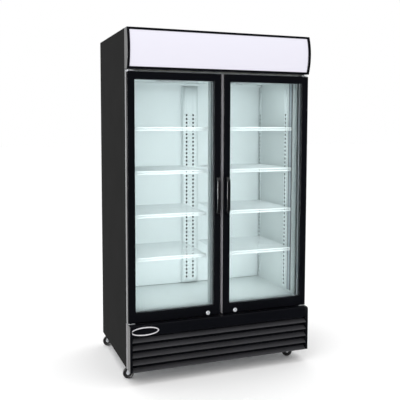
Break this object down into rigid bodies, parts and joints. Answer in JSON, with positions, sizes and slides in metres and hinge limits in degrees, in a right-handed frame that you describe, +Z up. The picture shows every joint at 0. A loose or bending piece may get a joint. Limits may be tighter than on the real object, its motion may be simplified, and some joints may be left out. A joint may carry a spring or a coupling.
{
  "type": "glass door merchandiser",
  "caption": "Upright two-door refrigerated display cabinet with lit canopy, wire shelves, louvred base grille and swivel casters.",
  "frame": {"origin": "on the floor, under the middle of the box that bounds the whole object", "axes": "+X to the right seen from the front, +Y towards the back, +Z up; the doors face -Y"},
  "size_m": [1.1436, 0.756, 1.98],
  "materials": {
    "black_paint": "fine-textured matte black",
    "black_gloss": "gloss black",
    "grille_paint": "satin charcoal",
    "white_liner": "smooth white",
    "white_steel": "smooth white",
    "white_wire": "white coated wire",
    "light_panel": "translucent white",
    "grey_steel": "galvanised grey",
    "zinc": "bright zinc",
    "foam": "rigid closed-cell foam",
    "seal_rubber": "soft black vinyl",
    "wheel_rubber": "hard black rubber",
    "aluminium": "mill finish",
    "compressor_paint": "satin black",
    "glass": "clear double glazing"
  },
  "bodies": {
    "cabinet": {"base_frame": "grey_steel", "foam_insulation": "foam", "inner_liner": "white_liner", "face_frame": "white_steel", "center_mullion": "white_steel", "back_panel": "grey_steel", "top_panel": "black_paint", "rear_cover": "black_paint", "front_grille": "grille_paint", "canopy_housing": "black_paint", "canopy_sign_panel": "light_panel", "canopy_lamp": "light_panel", "evaporator_cover": "aluminium", "evaporator_coil": "aluminium", "rear_duct_panel": "white_steel", "center_pilaster": "white_steel", "compressor": "compressor_paint", "condenser_coil": "aluminium", "left_side_panel": "black_paint", "canopy_end_cap_left": "black_gloss", "led_strip_left": "light_panel", "hinge_bracket_bottom_left": "zinc", "hinge_bracket_top_left": "zinc", "shelf_left_1": "white_wire", "shelf_left_2": "white_wire", "shelf_left_3": "white_wire", "shelf_left_4": "white_wire", "right_side_panel": "black_paint", "canopy_end_cap_right": "black_gloss", "led_strip_right": "light_panel", "hinge_bracket_bottom_right": "zinc", "hinge_bracket_top_right": "zinc", "shelf_right_1": "white_wire", "shelf_right_2": "white_wire", "shelf_right_3": "white_wire", "shelf_right_4": "white_wire"},
    "left_door": {"door_frame_left": "black_gloss", "door_glass_left": "glass", "door_gasket_left": "seal_rubber", "door_handle_left": "black_gloss"},
    "right_door": {"door_frame_right": "black_gloss", "door_glass_right": "glass", "door_gasket_right": "seal_rubber", "door_handle_right": "black_gloss"},
    "left_lock": {"door_lock_left": "zinc"},
    "right_lock": {"door_lock_right": "zinc"},
    "evaporator_fan_left": {"evaporator_fan_left": "black_gloss"},
    "evaporator_fan_right": {"evaporator_fan_right": "black_gloss"},
    "condenser_fan": {"condenser_fan": "black_gloss"},
    "light_switch": {"light_switch": "black_gloss"},
    "caster_front_left": {"caster_fork_front_left": "zinc"},
    "wheel_front_left": {"caster_wheel_front_left": "wheel_rubber"},
    "brake_front_left": {"brake_pedal_front_left": "black_gloss"},
    "caster_front_right": {"caster_fork_front_right": "zinc"},
    "wheel_front_right": {"caster_wheel_front_right": "wheel_rubber"},
    "brake_front_right": {"brake_pedal_front_right": "black_gloss"},
    "caster_back_left": {"caster_fork_back_left": "zinc"},
    "wheel_back_left": {"caster_wheel_back_left": "wheel_rubber"},
    "caster_back_right": {"caster_fork_back_right": "zinc"},
    "wheel_back_right": {"caster_wheel_back_right": "wheel_rubber"}
  },
  "joints": [
    {"name": "left_door_hinge", "type": "hinge", "parent": "cabinet", "child": "left_door", "pos_m": [-0.546, -0.314, 1.045], "axis": [0, 0, -1], "range_deg": [0, 110]},
    {"name": "right_door_hinge", "type": "hinge", "parent": "cabinet", "child": "right_door", "pos_m": [0.546, -0.314, 1.045], "axis": [0, 0, 1], "range_deg": [0, 110]},
    {"name": "left_lock_turn", "type": "hinge", "parent": "left_door", "child": "left_lock", "pos_m": [-0.086, -0.342, 0.363], "axis": [0, -1, 0], "range_deg": [0, 90]},
    {"name": "right_lock_turn", "type": "hinge", "parent": "right_door", "child": "right_lock", "pos_m": [0.086, -0.342, 0.363], "axis": [0, -1, 0], "range_deg": [0, 90]},
    {"name": "evaporator_fan_left_spin", "type": "hinge", "parent": "cabinet", "child": "evaporator_fan_left", "pos_m": [-0.23, -0.075, 1.735], "axis": [0, 0, 1], "continuous": true},
    {"name": "evaporator_fan_right_spin", "type": "hinge", "parent": "cabinet", "child": "evaporator_fan_right", "pos_m": [0.23, -0.075, 1.735], "axis": [0, 0, 1], "continuous": true},
    {"name": "condenser_fan_spin", "type": "hinge", "parent": "cabinet", "child": "condenser_fan", "pos_m": [0.15, -0.158, 0.203], "axis": [0, 1, 0], "continuous": true},
    {"name": "light_switch_rock", "type": "hinge", "parent": "cabinet", "child": "light_switch", "pos_m": [0.442, -0.211, 1.7258], "axis": [0, 1, 0], "range_deg": [0, 16]},
    {"name": "caster_front_left_swivel", "type": "hinge", "parent": "cabinet", "child": "caster_front_left", "pos_m": [-0.512, -0.256, 0.072], "axis": [0, 0, 1], "continuous": true},
    {"name": "wheel_front_left_roll", "type": "hinge", "parent": "caster_front_left", "child": "wheel_front_left", "pos_m": [-0.53831, -0.24642, 0.0315], "axis": [-0.342, -0.9397, 0], "continuous": true},
    {"name": "brake_front_left_press", "type": "hinge", "parent": "caster_front_left", "child": "brake_front_left", "pos_m": [-0.48945, -0.26421, 0.064], "axis": [0.342, 0.9397, 0], "range_deg": [0, 20]},
    {"name": "caster_front_right_swivel", "type": "hinge", "parent": "cabinet", "child": "caster_front_right", "pos_m": [0.512, -0.256, 0.072], "axis": [0, 0, 1], "continuous": true},
    {"name": "wheel_front_right_roll", "type": "hinge", "parent": "caster_front_right", "child": "wheel_front_right", "pos_m": [0.48522, -0.24781, 0.0315], "axis": [-0.2924, -0.9563, 0], "continuous": true},
    {"name": "brake_front_right_press", "type": "hinge", "parent": "caster_front_right", "child": "brake_front_right", "pos_m": [0.53495, -0.26302, 0.064], "axis": [0.2924, 0.9563, 0], "range_deg": [0, 20]},
    {"name": "caster_back_left_swivel", "type": "hinge", "parent": "cabinet", "child": "caster_back_left", "pos_m": [-0.512, 0.31, 0.072], "axis": [0, 0, 1], "continuous": true},
    {"name": "wheel_back_left_roll", "type": "hinge", "parent": "caster_back_left", "child": "wheel_back_left", "pos_m": [-0.53831, 0.31958, 0.0315], "axis": [-0.342, -0.9397, 0], "continuous": true},
    {"name": "caster_back_right_swivel", "type": "hinge", "parent": "cabinet", "child": "caster_back_right", "pos_m": [0.512, 0.31, 0.072], "axis": [0, 0, 1], "continuous": true},
    {"name": "wheel_back_right_roll", "type": "hinge", "parent": "caster_back_right", "child": "wheel_back_right", "pos_m": [0.53831, 0.31958, 0.0315], "axis": [-0.342, 0.9397, 0], "continuous": true}
  ]
}
